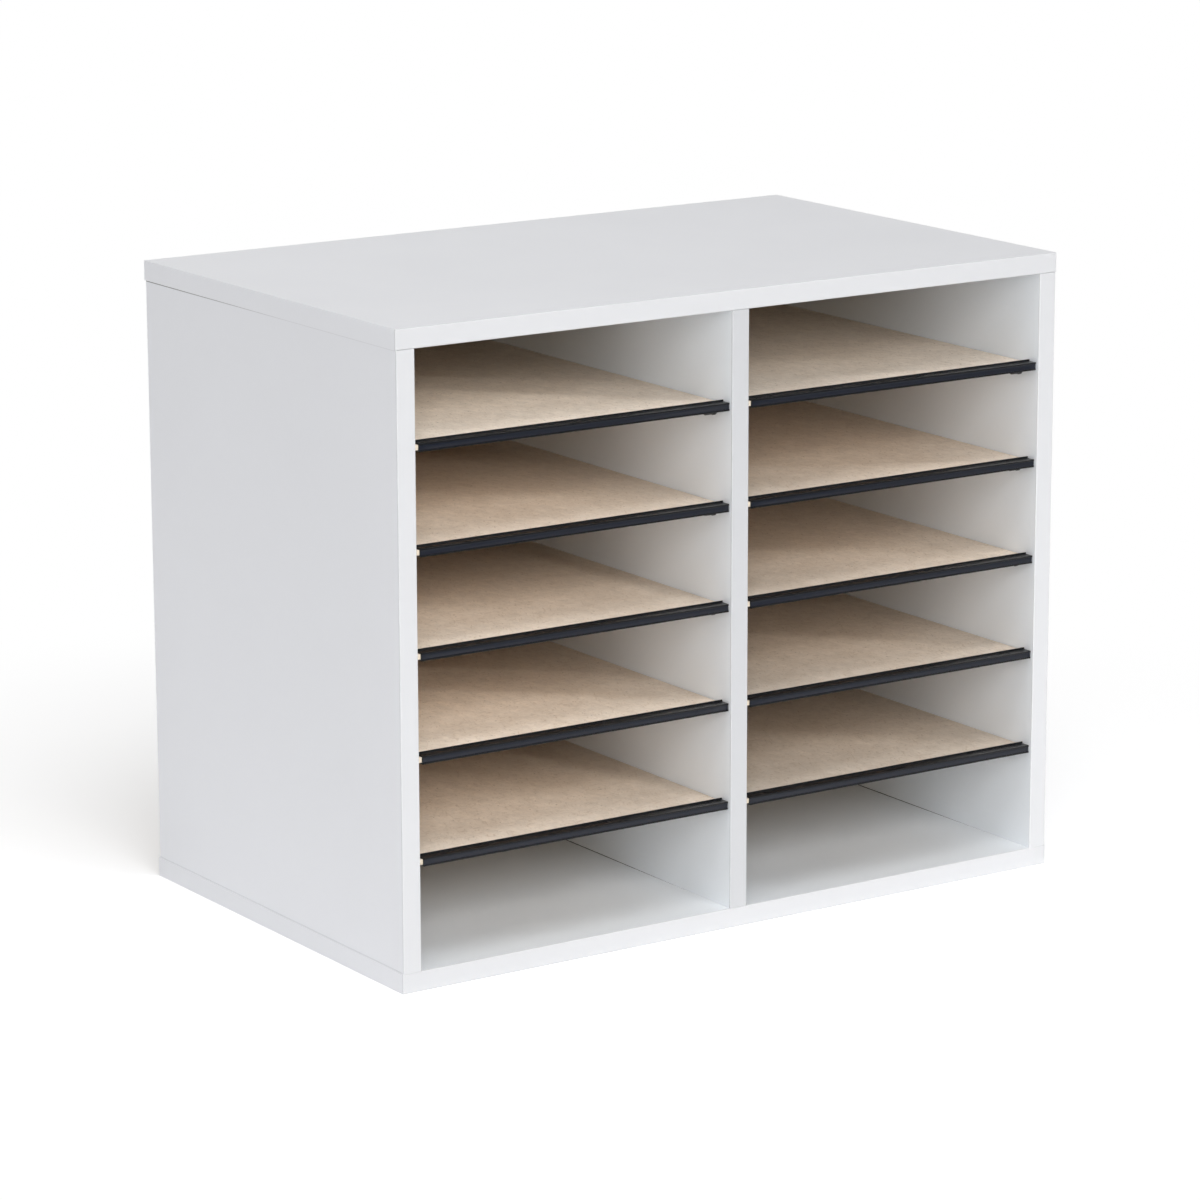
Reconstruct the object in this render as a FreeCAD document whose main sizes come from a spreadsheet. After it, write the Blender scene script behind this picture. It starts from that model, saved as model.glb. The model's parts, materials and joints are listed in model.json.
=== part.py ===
import FreeCAD, Part
import math
import os
import re
import Sketcher

# A literature organizer: a white board cabinet with two columns of loose shelves.
# Sizes are in millimetres. X runs to the right, Y to the back and Z up.
# The origin is the middle of the base. The open front faces -Y.

SHELVES = 5
FIXING_ROWS = 3
NAIL_ROWS = 5
COLUMNS = {"left": "-bay_middle", "right": "bay_middle"}

SIZES = {
    # cabinet, measured outside
    "overall_width": 495.3,
    "overall_depth": 304.8,
    "overall_height": 406.4,
    # laminated boards, and the bands glued to their edges
    "board_thickness": 12.7,
    "front_band_thickness": 1.0,
    "end_band_thickness": 0.8,
    "edge_round": 0.8,
    "side_inset": 0.5,
    "rear_inset": 1.2,
    # back panel and the rebate it lies in
    "back_thickness": 3.2,
    "rebate_width": 6.35,
    "back_fit": 0.3,
    # shelf boards
    "shelf_lift": 1.9,
    "shelf_thickness": 3.2,
    "shelf_side_gap": 0.8,
    "shelf_rear_gap": 1.0,
    # label holder on the front edge of each shelf
    "holder_setback": 2.0,
    "holder_end_gap": 2.15,
    "holder_shift": 1.55,
    "holder_wall": 0.9,
    "holder_fit": 0.05,
    "holder_depth": 7.5,
    "holder_round": 0.25,
    "rib_height": 1.0,
    "rib_thickness": 1.0,
    "lip_height": 1.05,
    "lip_thickness": 0.3,
    "groove_depth": 0.5,
    "groove_margin": 0.5,
    "web_thickness": 0.6,
    # blank strip in the label holder
    "label_thickness": 0.4,
    "label_fit": 0.1,
    "label_end_inset": 0.1,
    # shelf pins
    "peg_diameter": 5.0,
    "peg_depth": 5.8,
    "peg_fit": 0.05,
    "peg_hole_room": 0.2,
    "peg_drop": 3.3,
    "collar_diameter": 5.6,
    "collar_thickness": 2.0,
    "finger_diameter": 4.8,
    "finger_length": 7.5,
    "seat_width": 4.6,
    "pin_front_setback": 19.0,
    "pin_rear_setback": 40.0,
    # dowels and screws at the ends of the upright boards
    "fixing_front_setback": 50.0,
    "fixing_rear_setback": 50.0,
    "dowel_diameter": 6.0,
    "dowel_length": 30.0,
    "dowel_in_panel": 7.5,
    "dowel_fit": 0.05,
    "dowel_end_room": 0.5,
    "dowel_bevel": 0.6,
    "screw_length": 38.0,
    "screw_sink": 0.4,
    "screw_head_diameter": 8.0,
    "screw_head_height": 2.4,
    "screw_head_rim": 0.5,
    "screw_shank_diameter": 4.0,
    "screw_tip_length": 4.0,
    "screw_tip_diameter": 0.8,
    "screw_fit": 0.05,
    "recess_length": 4.2,
    "recess_width": 1.1,
    "recess_depth": 1.5,
    # nails that hold the back panel
    "nail_length": 19.0,
    "nail_diameter": 1.4,
    "nail_fit": 0.05,
    "nail_head_diameter": 3.4,
    "nail_head_thickness": 0.6,
    "nail_tip_length": 2.0,
    "nail_tip_diameter": 0.3,
    "nail_end_setback": 24.0,
}

# Depths in these formulas are counted from the front of the boards, behind their bands.
DERIVED = {
    "inner_height": "overall_height - 2 * board_thickness",
    "shelf_pitch": f"inner_height / {SHELVES + 1}",
    "board_length": "overall_width - 2 * end_band_thickness",
    "board_depth": "overall_depth - front_band_thickness",
    "side_outer": "overall_width / 2 - side_inset",
    "side_inner": "side_outer - board_thickness",
    "side_middle": "side_outer - board_thickness / 2",
    "bay_width": "side_inner - board_thickness / 2",
    "bay_middle": "side_inner - bay_width / 2",
    "front_plane": "-overall_depth / 2",
    "board_front": "front_plane + front_band_thickness",
    "side_depth": "board_depth - rear_inset",
    "back_face": "side_depth - back_thickness",
    "rebate_middle": "rebate_width / 2",
    "back_width": "2 * (side_inner + rebate_width - back_fit)",
    "back_height": "inner_height + 2 * (rebate_width - back_fit)",
    "holder_height": "shelf_thickness + 2 * (holder_wall + holder_fit)",
    "holder_front": "lip_thickness + groove_depth + web_thickness",
    "holder_length": "bay_width - 2 * holder_end_gap",
    "shelf_width": "bay_width - 2 * shelf_side_gap",
    "shelf_front": "front_plane + holder_setback + holder_front + holder_fit",
    "shelf_depth": "board_front + back_face - shelf_rear_gap - shelf_front",
    "label_height": "holder_height - 2 * (groove_margin + label_fit)",
    "label_length": "holder_length - 2 * label_end_inset",
    "pin_front": "pin_front_setback - front_band_thickness",
    "pin_span": "back_face - pin_rear_setback - pin_front",
    "first_peg": "shelf_pitch + shelf_lift - peg_drop",
    "fixing_span": "back_face - fixing_front_setback - fixing_rear_setback",
    "dowel_in_upright": "dowel_length - dowel_in_panel",
    "screw_in_upright": "screw_length + screw_sink - board_thickness",
    "nail_span": "inner_height - 2 * nail_end_setback",
    "nail_in_board": "nail_length - back_thickness",
}

document = FreeCAD.newDocument("literature_organizer")
sheet = document.addObject("Spreadsheet::Sheet", "Sizes")
nodes = []


def fill_sheet():
    """Write each size in column B under its own name, with the name beside it in column A."""
    cells = [(name, str(value)) for name, value in SIZES.items()]
    cells += [(name, "=" + formula) for name, formula in DERIVED.items()]
    for row, (name, content) in enumerate(cells, 1):
        sheet.set(f"A{row}", name)
        sheet.set(f"B{row}", content)
        sheet.setAlias(f"B{row}", name)
    document.recompute()


def in_sheet(formula):
    """Point each size named in a formula at its cell."""
    return re.sub(r"[a-z][a-z_]+", lambda word: "Sizes." + word.group(), formula)


def bind(item, place, formula):
    if formula != "0":
        item.setExpression(place, in_sheet(formula))


def set_down(item, label, x="0", y="0", z="0"):
    """Name a finished sub-part and put it where it belongs in the organizer."""
    item.Label = label
    for axis, formula in zip("xyz", (x, y, z)):
        bind(item, "Placement.Base." + axis, formula)
    nodes.append(item)


def new_body(name):
    return document.addObject("PartDesign::Body", name)


def datum(body, role):
    return next(item for item in body.Origin.OriginFeatures if item.Role == role)


def new_sketch(body, name, plane, across="0", up="0", lift="0"):
    """Start a sketch on an origin plane, moved within it and lifted off along its normal."""
    sketch = body.newObject("Sketcher::SketchObject", name)
    sketch.AttachmentSupport = [(datum(body, plane), "")]
    sketch.MapMode = "FlatFace"
    for axis, formula in zip("xyz", (across, up, lift)):
        bind(sketch, ".AttachmentOffset.Base." + axis, formula)
    return sketch


def fix_point(sketch, curve, point, across, up):
    """Hold the start or centre of a curve at a place given by two formulas."""
    # Constraints know the points of a curve and a sketch's two axes by number.
    number = {"start": 1, "centre": 3}[point]
    for kind, axis, formula in (("DistanceX", -2, across), ("DistanceY", -1, up)):
        if formula == "0":
            sketch.addConstraint(Sketcher.Constraint("PointOnObject", curve, number, axis))
        else:
            rule = Sketcher.Constraint(kind, -1, 1, curve, number, 1.0)
            bind(sketch, f"Constraints[{sketch.addConstraint(rule)}]", formula)


def draw_outline(sketch, corners):
    """Draw a rough closed outline and fix each of its corners, given as pairs of formulas."""
    count = len(corners)
    angles = [2 * math.pi * (index + 0.3) / count for index in range(count)]
    rough = [FreeCAD.Vector(math.cos(angle), math.sin(angle), 0) for angle in angles]
    lines = [Part.LineSegment(rough[index - 1], rough[index]) for index in range(count)]
    curves = [sketch.addGeometry(line) for line in lines]
    for index, curve in enumerate(curves):
        sketch.addConstraint(Sketcher.Constraint("Coincident", curves[index - 1], 2, curve, 1))
    for curve, (across, up) in zip(curves, corners):
        fix_point(sketch, curve, "start", across, up)


def draw_rectangle(sketch, left, low, right, high):
    draw_outline(sketch, [(left, low), (right, low), (right, high), (left, high)])


def draw_circle(sketch, across, up, diameter):
    curve = sketch.addGeometry(Part.Circle(FreeCAD.Vector(1, 1, 0), FreeCAD.Vector(0, 0, 1), 1))
    fix_point(sketch, curve, "centre", across, up)
    rule = Sketcher.Constraint("Diameter", curve, 2.0)
    bind(sketch, f"Constraints[{sketch.addConstraint(rule)}]", diameter)


def extrude(body, kind, name, sketch, length, flip=False):
    """Pad a sketch along its normal, or pocket it against its normal; flip turns either round."""
    feature = body.newObject("PartDesign::" + kind, name)
    feature.Profile = sketch
    feature.Reversed = flip
    bind(feature, "Length", length)
    body.Tip = feature
    return feature


def revolve(body, kind, name, sketch, axis):
    feature = body.newObject("PartDesign::" + kind, name)
    feature.Profile = sketch
    feature.ReferenceAxis = (sketch, [axis])
    feature.Angle = 360
    body.Tip = feature
    return feature


def repeat(body, name, originals, steps):
    """Copy features along one or two axes; a step is an axis, the whole span and a count."""
    document.recompute()
    pattern = body.newObject("PartDesign::LinearPattern", name)
    if originals:
        pattern.Originals = originals
    else:
        pattern.TransformMode = "Whole shape"
    for suffix, (axis, span, count) in zip(("", "2"), steps):
        setattr(pattern, "Direction" + suffix, (datum(body, axis), [""]))
        setattr(pattern, "Occurrences" + suffix, count)
        bind(pattern, "Length" + suffix, span)
    body.Tip = pattern
    return pattern


def round_edges(body, name, radius, wanted):
    """Round the edges whose two end points pass the test."""
    base = body.Tip
    chosen = []
    for number, edge in enumerate(base.Shape.Edges, 1):
        if wanted(*[vertex.Point for vertex in edge.Vertexes]):
            chosen.append(f"Edge{number}")
    fillet = body.newObject("PartDesign::Fillet", name)
    fillet.Base = (base, chosen)
    bind(fillet, "Radius", radius)
    body.Tip = fillet


def near(value, goal):
    return abs(value - goal) < 0.001


def drill(body, name, plane, lift, across, up, diameter, depth, steps, flip=False):
    """Drill a row or grid of round holes from a plane; flip drills along the plane's normal."""
    sketch = new_sketch(body, name + "_place", plane, lift=lift)
    draw_circle(sketch, across, up, diameter)
    hole = extrude(body, "Pocket", name, sketch, depth, flip)
    if steps:
        repeat(body, name + "_rows", [hole], steps)


def dowel_hole(depth):
    return "dowel_diameter + 2 * dowel_fit", depth + " + dowel_end_room"


def flat_panel(label, height, inner_face, into_board, nail_line):
    """Cut the plan of the top or bottom panel, its rebate for the back and its nail holes."""
    body = new_body(label)
    plan = new_sketch(body, label + "_plan", "XY_Plane")
    draw_rectangle(plan, "-board_length / 2", "0", "board_length / 2", "board_depth")
    extrude(body, "Pad", label + "_board", plan, "board_thickness")
    rebate = new_sketch(body, label + "_rebate_plan", "XY_Plane", lift=inner_face)
    rebate_end = "side_inner + rebate_width"
    draw_rectangle(rebate, "-side_inner - rebate_width", "back_face", rebate_end, "board_depth")
    extrude(body, "Pocket", label + "_rebate", rebate, "rebate_width", into_board)
    drill(body, label + "_nail_holes", "XZ_Plane", "-back_face", "-bay_middle", nail_line,
          "nail_diameter + 2 * nail_fit", "nail_in_board", [("X_Axis", "2 * bay_middle", 2)], True)
    set_down(body, label, y="board_front", z=height)
    return body


def top_panel():
    body = flat_panel("top_panel", "overall_height - board_thickness", "0", True, "rebate_middle")
    diameter, depth = dowel_hole("dowel_in_panel")
    steps = [("X_Axis", "2 * side_middle", 3), ("Y_Axis", "fixing_span", FIXING_ROWS)]
    drill(body, "top_dowel_holes", "XY_Plane", "0", "-side_middle", "fixing_front_setback",
          diameter, depth, steps, True)


def bottom_panel():
    nail_line = "board_thickness - rebate_middle"
    body = flat_panel("bottom_panel", "0", "board_thickness", False, nail_line)
    diameter, depth = dowel_hole("dowel_in_panel")
    across = [("X_Axis", "2 * side_middle", 3)]
    drill(body, "bottom_dowel_holes", "XY_Plane", "board_thickness", "-side_middle",
          "fixing_front_setback + fixing_span / 2", diameter, depth, across)
    section = new_sketch(body, "screw_hole_section", "XZ_Plane", across="-side_middle",
                         lift="-fixing_front_setback")
    head = "screw_head_diameter / 2 + screw_fit"
    shank = "screw_shank_diameter / 2 + screw_fit"
    rim_top = "screw_sink + screw_head_rim"
    cone_top = "screw_sink + screw_head_rim + screw_head_height"
    draw_outline(section, [("0", "0"), (head, "0"), (head, rim_top), (shank, cone_top),
                           (shank, "board_thickness"), ("0", "board_thickness")])
    hole = revolve(body, "Groove", "screw_hole", section, "V_Axis")
    repeat(body, "screw_hole_rows", [hole], across + [("Y_Axis", "fixing_span", 2)])


def drill_upright(body, middle, nail_line):
    """Drill the ends of an upright board for dowels and screws, and its rear edge for nails."""
    diameter, depth = dowel_hole("dowel_in_upright")
    rows = [("Y_Axis", "fixing_span", FIXING_ROWS)]
    drill(body, body.Name + "_top_dowel_holes", "XY_Plane", "inner_height", middle,
          "fixing_front_setback", diameter, depth, rows)
    drill(body, body.Name + "_bottom_dowel_hole", "XY_Plane", "0", middle,
          "fixing_front_setback + fixing_span / 2", diameter, depth, [], True)
    drill(body, body.Name + "_screw_holes", "XY_Plane", "0", middle, "fixing_front_setback",
          "screw_shank_diameter + 2 * screw_fit", "screw_in_upright",
          [("Y_Axis", "fixing_span", 2)], True)
    drill(body, body.Name + "_nail_holes", "XZ_Plane", "-back_face", nail_line, "nail_end_setback",
          "nail_diameter + 2 * nail_fit", "nail_in_board",
          [("Z_Axis", "nail_span", NAIL_ROWS)], True)


def drill_pin_holes(body, name, face, flip):
    """Drill the two columns of shelf pin holes in one face of an upright board."""
    steps = [("Y_Axis", "pin_span", 2), ("Z_Axis", f"{SHELVES - 1} * shelf_pitch", SHELVES)]
    drill(body, name, "YZ_Plane", face, "pin_front", "first_peg", "peg_diameter + 2 * peg_fit",
          "peg_depth + peg_hole_room", steps, flip)


def side_panel(label, hand):
    """Make a side board that runs inwards from its outer face; hand is 1 on the left, -1 on the right."""
    body = new_body(label)
    right_hand = hand < 0
    outline = new_sketch(body, label + "_outline", "YZ_Plane")
    draw_rectangle(outline, "0", "0", "side_depth", "inner_height")
    extrude(body, "Pad", label + "_board", outline, "board_thickness", right_hand)
    inner_face = f"{hand} * board_thickness"
    rebate = new_sketch(body, label + "_rebate_outline", "YZ_Plane", lift=inner_face)
    draw_rectangle(rebate, "back_face", "0", "side_depth", "inner_height")
    extrude(body, "Pocket", label + "_rebate", rebate, "rebate_width", right_hand)
    drill_pin_holes(body, label + "_pin_holes", inner_face, right_hand)
    drill_upright(body, f"{hand} * board_thickness / 2", f"{hand} * (board_thickness - rebate_middle)")
    set_down(body, label, f"{-hand} * side_outer", "board_front", "board_thickness")


def centre_divider():
    body = new_body("centre_divider")
    outline = new_sketch(body, "divider_outline", "YZ_Plane", lift="-board_thickness / 2")
    draw_rectangle(outline, "0", "0", "back_face", "inner_height")
    extrude(body, "Pad", "divider_board", outline, "board_thickness")
    drill_pin_holes(body, "divider_left_pin_holes", "-board_thickness / 2", True)
    drill_pin_holes(body, "divider_right_pin_holes", "board_thickness / 2", False)
    drill_upright(body, "0", "0")
    set_down(body, "centre_divider", y="board_front", z="board_thickness")


def back_panel():
    body = new_body("back_panel")
    outline = new_sketch(body, "back_outline", "XZ_Plane")
    draw_rectangle(outline, "-back_width / 2", "0", "back_width / 2", "back_height")
    extrude(body, "Pad", "back_board", outline, "back_thickness", True)
    bore = "nail_diameter + 2 * nail_fit"
    foot = "rebate_width - back_fit"
    uprights = [("X_Axis", "2 * (side_inner + rebate_middle)", 3), ("Z_Axis", "nail_span", NAIL_ROWS)]
    panels = [("X_Axis", "2 * bay_middle", 2), ("Z_Axis", "inner_height + 2 * rebate_middle", 2)]
    drill(body, "upright_nail_holes", "XZ_Plane", "0", "-side_inner - rebate_middle",
          foot + " + nail_end_setback", bore, "back_thickness", uprights)
    drill(body, "panel_nail_holes", "XZ_Plane", "0", "-bay_middle", foot + " - rebate_middle",
          bore, "back_thickness", panels)
    set_down(body, "back_panel", y="board_front + back_face", z="board_thickness - rebate_width + back_fit")


def front_band(label, width, height, x, z, round_ends):
    """Make the band on a board's front edge, with its outer corners rounded."""
    body = new_body(label)
    outline = new_sketch(body, label + "_outline", "XZ_Plane")
    draw_rectangle(outline, f"-({width}) / 2", "0", f"({width}) / 2", height)
    extrude(body, "Pad", label + "_strip", outline, "front_band_thickness", True)
    document.recompute()

    def is_outer(first, last):
        in_front = near(first.y, 0) and near(last.y, 0)
        return in_front and (round_ends or near(first.x, last.x))

    round_edges(body, label + "_round", "edge_round", is_outer)
    set_down(body, label, x, "front_plane", z)


def front_bands():
    for label, z in (("bottom_front_band", "0"), ("top_front_band", "overall_height - board_thickness")):
        front_band(label, "overall_width", "board_thickness", "0", z, True)
    for label, x in (("left_front_band", "-side_middle"), ("divider_front_band", "0"),
                     ("right_front_band", "side_middle")):
        front_band(label, "board_thickness", "inner_height", x, "board_thickness", False)


def end_bands():
    """Make the four thin bands on the ends of the top and bottom panels."""
    for level, z in (("bottom", "0"), ("top", "overall_height - board_thickness")):
        for side, x in (("left", "-overall_width / 2"), ("right", "board_length / 2")):
            band = document.addObject("Part::Box", f"{level}_{side}_end_band")
            bind(band, "Length", "end_band_thickness")
            bind(band, "Width", "board_depth")
            bind(band, "Height", "board_thickness")
            set_down(band, f"{level}_{side}_end_band", x, "board_front", z)


def shelf_height(level):
    """Give the height of the underside of a shelf, counted from the bottom."""
    return f"board_thickness + {level} * shelf_pitch + shelf_lift"


def shelf_board(column, level):
    label = f"{column}_shelf_{level}"
    body = new_body(label)
    plan = new_sketch(body, label + "_plan", "XY_Plane")
    draw_rectangle(plan, "-shelf_width / 2", "0", "shelf_width / 2", "shelf_depth")
    extrude(body, "Pad", label + "_board", plan, "shelf_thickness")
    set_down(body, label, COLUMNS[column], "shelf_front", shelf_height(level))


def label_holder(column, level):
    """Make the moulding: a channel that grips the shelf, a rear rib on top and a label groove in front."""
    label = f"{column}_label_holder_{level}"
    body = new_body(label)
    groove_back = "lip_thickness + groove_depth"
    rib_front = "holder_depth - rib_thickness"
    grip_top = "holder_height - holder_wall"
    rib_top = "holder_height + rib_height"
    groove_top = "holder_height - groove_margin"
    lip_bottom = "holder_height - lip_height"
    section = new_sketch(body, label + "_section", "YZ_Plane", lift="-holder_length / 2")
    draw_outline(section, [
        ("0", "0"), ("holder_depth", "0"), ("holder_depth", "holder_wall"),
        ("holder_front", "holder_wall"), ("holder_front", grip_top), ("holder_depth", grip_top),
        ("holder_depth", rib_top), (rib_front, rib_top), (rib_front, "holder_height"),
        ("0", "holder_height"), ("0", lip_bottom), ("lip_thickness", lip_bottom),
        ("lip_thickness", groove_top), (groove_back, groove_top), (groove_back, "groove_margin"),
        ("lip_thickness", "groove_margin"), ("lip_thickness", "lip_height"), ("0", "lip_height"),
    ])
    extrude(body, "Pad", label + "_channel", section, "holder_length")
    document.recompute()
    box = body.Shape.BoundBox

    def is_outer(first, last):
        along = near(first.y, last.y) and near(first.z, last.z)
        in_front = near(first.y, 0) and (near(first.z, 0) or near(first.z, sheet.holder_height))
        return along and (in_front or near(first.z, box.ZMax))

    round_edges(body, label + "_round", "holder_round", is_outer)
    set_down(body, label, COLUMNS[column] + " + holder_shift", "front_plane + holder_setback",
             shelf_height(level) + " - holder_wall - holder_fit")


def label_strip(column, level):
    strip = document.addObject("Part::Box", f"{column}_label_strip_{level}")
    bind(strip, "Length", "label_length")
    bind(strip, "Width", "label_thickness")
    bind(strip, "Height", "label_height")
    set_down(strip, f"{column}_label_strip_{level}",
             COLUMNS[column] + " + holder_shift - label_length / 2",
             "front_plane + holder_setback + lip_thickness + (groove_depth - label_thickness) / 2",
             shelf_height(level) + " - holder_wall - holder_fit + groove_margin + label_fit")


def shelf_pins(column, level):
    """Make the four pins under a shelf, around the middle of its bay and level with its underside."""
    label = f"{column}_shelf_pins_{level}"
    body = new_body(label)
    wall = "-bay_width / 2"
    axis = {"across": "pin_front", "up": "-peg_drop", "lift": wall}
    for name, diameter, length, flip in (("peg", "peg_diameter", "peg_depth", True),
                                         ("collar", "collar_diameter", "collar_thickness", False),
                                         ("finger", "finger_diameter", "finger_length", False)):
        sketch = new_sketch(body, f"{label}_{name}_outline", "YZ_Plane", **axis)
        draw_circle(sketch, "0", "0", diameter)
        extrude(body, "Pad", f"{label}_{name}", sketch, length, flip)
    seat = new_sketch(body, label + "_seat_outline", "YZ_Plane", **axis)
    draw_rectangle(seat, "-seat_width / 2", "0", "seat_width / 2", "peg_drop")
    extrude(body, "Pad", label + "_seat", seat, "finger_length")
    repeat(body, label + "_front_and_rear", [], [("Y_Axis", "pin_span", 2)])
    mirror = body.newObject("PartDesign::Mirrored", label + "_both_sides")
    mirror.TransformMode = "Whole shape"
    mirror.MirrorPlane = (datum(body, "YZ_Plane"), [""])
    body.Tip = mirror
    document.recompute()
    set_down(body, label, COLUMNS[column], "board_front", shelf_height(level))


def dowels(label, first_row, foot, steps):
    """Make a grid of bevelled dowels that stand on the height called foot."""
    body = new_body(label)
    section = new_sketch(body, label + "_section", "XZ_Plane", across="-side_middle", lift=f"-({first_row})")
    radius = "dowel_diameter / 2"
    draw_outline(section, [("0", "0"), (radius + " - dowel_bevel", "0"), (radius, "dowel_bevel"),
                           (radius, "dowel_length - dowel_bevel"),
                           (radius + " - dowel_bevel", "dowel_length"), ("0", "dowel_length")])
    dowel = revolve(body, "Revolution", label + "_pin", section, "V_Axis")
    repeat(body, label + "_rows", [dowel], steps)
    set_down(body, label, y="board_front", z=foot)


def all_dowels():
    across = ("X_Axis", "2 * side_middle", 3)
    dowels("top_dowels", "fixing_front_setback", "overall_height - board_thickness - dowel_in_upright",
           [across, ("Y_Axis", "fixing_span", FIXING_ROWS)])
    dowels("bottom_dowels", "fixing_front_setback + fixing_span / 2",
           "board_thickness - dowel_in_panel", [across])


def bottom_screws():
    """Make the countersunk screws, head down, with a cross recess in each head."""
    body = new_body("bottom_screws")
    section = new_sketch(body, "screw_section", "XZ_Plane", across="-side_middle",
                         lift="-fixing_front_setback")
    head = "screw_head_diameter / 2"
    shank = "screw_shank_diameter / 2"
    draw_outline(section, [("0", "0"), (head, "0"), (head, "screw_head_rim"),
                           (shank, "screw_head_rim + screw_head_height"),
                           (shank, "screw_length - screw_tip_length"),
                           ("screw_tip_diameter / 2", "screw_length"), ("0", "screw_length")])
    revolve(body, "Revolution", "screw", section, "V_Axis")
    cross = new_sketch(body, "recess_outline", "XY_Plane", across="-side_middle", up="fixing_front_setback")
    arm = "recess_length / 2"
    half = "recess_width / 2"
    quarter = [(arm, "-" + half), (arm, half), (half, half)]
    corners = []
    for _ in range(4):
        corners += quarter
        quarter = [(turn_sign(up), across) for across, up in quarter]
    draw_outline(cross, corners)
    extrude(body, "Pocket", "recess", cross, "recess_depth", True)
    repeat(body, "screw_rows", [], [("X_Axis", "2 * side_middle", 3), ("Y_Axis", "fixing_span", 2)])
    set_down(body, "bottom_screws", y="board_front", z="screw_sink")


def turn_sign(formula):
    return formula[1:] if formula.startswith("-") else "-" + formula


def nail(body, name, across, up):
    """Turn one nail about its length, head behind the back panel and tip to the front."""
    section = new_sketch(body, name + "_section", "YZ_Plane", up=up, lift=across)
    shaft = "nail_diameter / 2"
    head = "nail_head_diameter / 2"
    draw_outline(section, [("-nail_length", "0"), ("nail_head_thickness", "0"),
                           ("nail_head_thickness", head), ("0", head), ("0", shaft),
                           ("nail_tip_length - nail_length", shaft),
                           ("-nail_length", "nail_tip_diameter / 2")])
    return revolve(body, "Revolution", name, section, "H_Axis")


def back_nails():
    body = new_body("back_nails")
    upright_nail = nail(body, "upright_nail", "-side_inner - rebate_middle", "nail_end_setback")
    repeat(body, "upright_nails", [upright_nail],
           [("X_Axis", "2 * (side_inner + rebate_middle)", 3), ("Z_Axis", "nail_span", NAIL_ROWS)])
    panel_nail = nail(body, "panel_nail", "-bay_middle", "-rebate_middle")
    repeat(body, "panel_nails", [panel_nail],
           [("X_Axis", "2 * bay_middle", 2), ("Z_Axis", "inner_height + 2 * rebate_middle", 2)])
    set_down(body, "back_nails", y="board_front + side_depth", z="board_thickness")


def build():
    fill_sheet()
    top_panel()
    bottom_panel()
    side_panel("left_side_panel", 1)
    side_panel("right_side_panel", -1)
    centre_divider()
    back_panel()
    front_bands()
    end_bands()
    for column in COLUMNS:
        for level in range(1, SHELVES + 1):
            shelf_board(column, level)
            label_holder(column, level)
            label_strip(column, level)
            shelf_pins(column, level)
    all_dowels()
    bottom_screws()
    back_nails()
    document.recompute()


def check():
    """Stop if any object failed, any shape is empty or broken, or any cut removed nothing."""
    for item in document.Objects:
        if "Invalid" in item.State or "Error" in item.State:
            raise RuntimeError(f"{item.Label} failed: {item.State}")
        if item.TypeId in ("PartDesign::Pocket", "PartDesign::Groove"):
            if item.Shape.Volume > item.BaseFeature.Shape.Volume - 0.01:
                raise RuntimeError(f"{item.Label} cuts nothing")
    for node in nodes:
        if node.Shape.isNull() or not node.Shape.isValid():
            raise RuntimeError(f"{node.Label} has no valid shape")


def write():
    os.makedirs("parts", exist_ok=True)
    for node in nodes:
        node.Shape.exportStep(f"parts/{node.Label}.step")
        box = node.Shape.BoundBox
        print(f"{node.Label}: {len(node.Shape.Solids)} solid(s), {box.XLength:.2f} x "
              f"{box.YLength:.2f} x {box.ZLength:.2f} mm")
    whole = FreeCAD.BoundBox()
    for node in nodes:
        whole.add(node.Shape.BoundBox)
    print(f"{len(nodes)} nodes, whole: {whole}")


build()
check()
write()
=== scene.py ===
"""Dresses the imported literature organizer: boards, shelves, label holders and hardware."""

import json
import math
import random

import bmesh
import bpy
from bpy.props import FloatProperty, FloatVectorProperty, IntProperty, PointerProperty
from bpy.types import Operator, Panel, PropertyGroup
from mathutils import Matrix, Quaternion, Vector


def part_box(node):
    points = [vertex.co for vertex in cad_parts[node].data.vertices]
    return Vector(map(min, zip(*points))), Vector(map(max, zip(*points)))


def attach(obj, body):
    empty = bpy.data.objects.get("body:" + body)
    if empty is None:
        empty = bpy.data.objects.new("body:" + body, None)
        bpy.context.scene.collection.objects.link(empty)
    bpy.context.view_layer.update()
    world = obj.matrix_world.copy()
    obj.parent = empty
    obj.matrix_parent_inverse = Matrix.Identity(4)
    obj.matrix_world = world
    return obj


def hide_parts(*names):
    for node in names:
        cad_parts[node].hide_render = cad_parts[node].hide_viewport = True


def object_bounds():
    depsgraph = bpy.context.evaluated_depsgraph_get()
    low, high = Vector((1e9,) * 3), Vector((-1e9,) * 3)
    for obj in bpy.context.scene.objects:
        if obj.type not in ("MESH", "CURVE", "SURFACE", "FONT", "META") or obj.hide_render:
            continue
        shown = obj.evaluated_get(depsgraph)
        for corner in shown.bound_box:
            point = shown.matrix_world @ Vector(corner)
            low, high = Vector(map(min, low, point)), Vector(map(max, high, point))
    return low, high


bl_info = {
    "name": "Literature organizer",
    "version": (1, 0, 0),
    "blender": (4, 5, 0),
    "location": "3D View > Sidebar > Organizer",
    "description": "Finishes and fine shapes for a board cabinet with loose shelves",
    "category": "Object",
}

MM = 0.001
WHITE = (1.0, 1.0, 1.0, 1.0)
UP = Vector((0, 0, 1))
REARWARD = Vector((0, 1, 0))
TINY = 1e-6

# Steps in a rounded corner and in a turn of thread, and sides of the round pieces
CORNER_STEPS = 3
STEPS_PER_TURN = 6
PIN_SIDES, SCREW_SIDES, NAIL_SIDES, SIDES_PER_FLUTE = 40, 24, 20, 4

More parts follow.
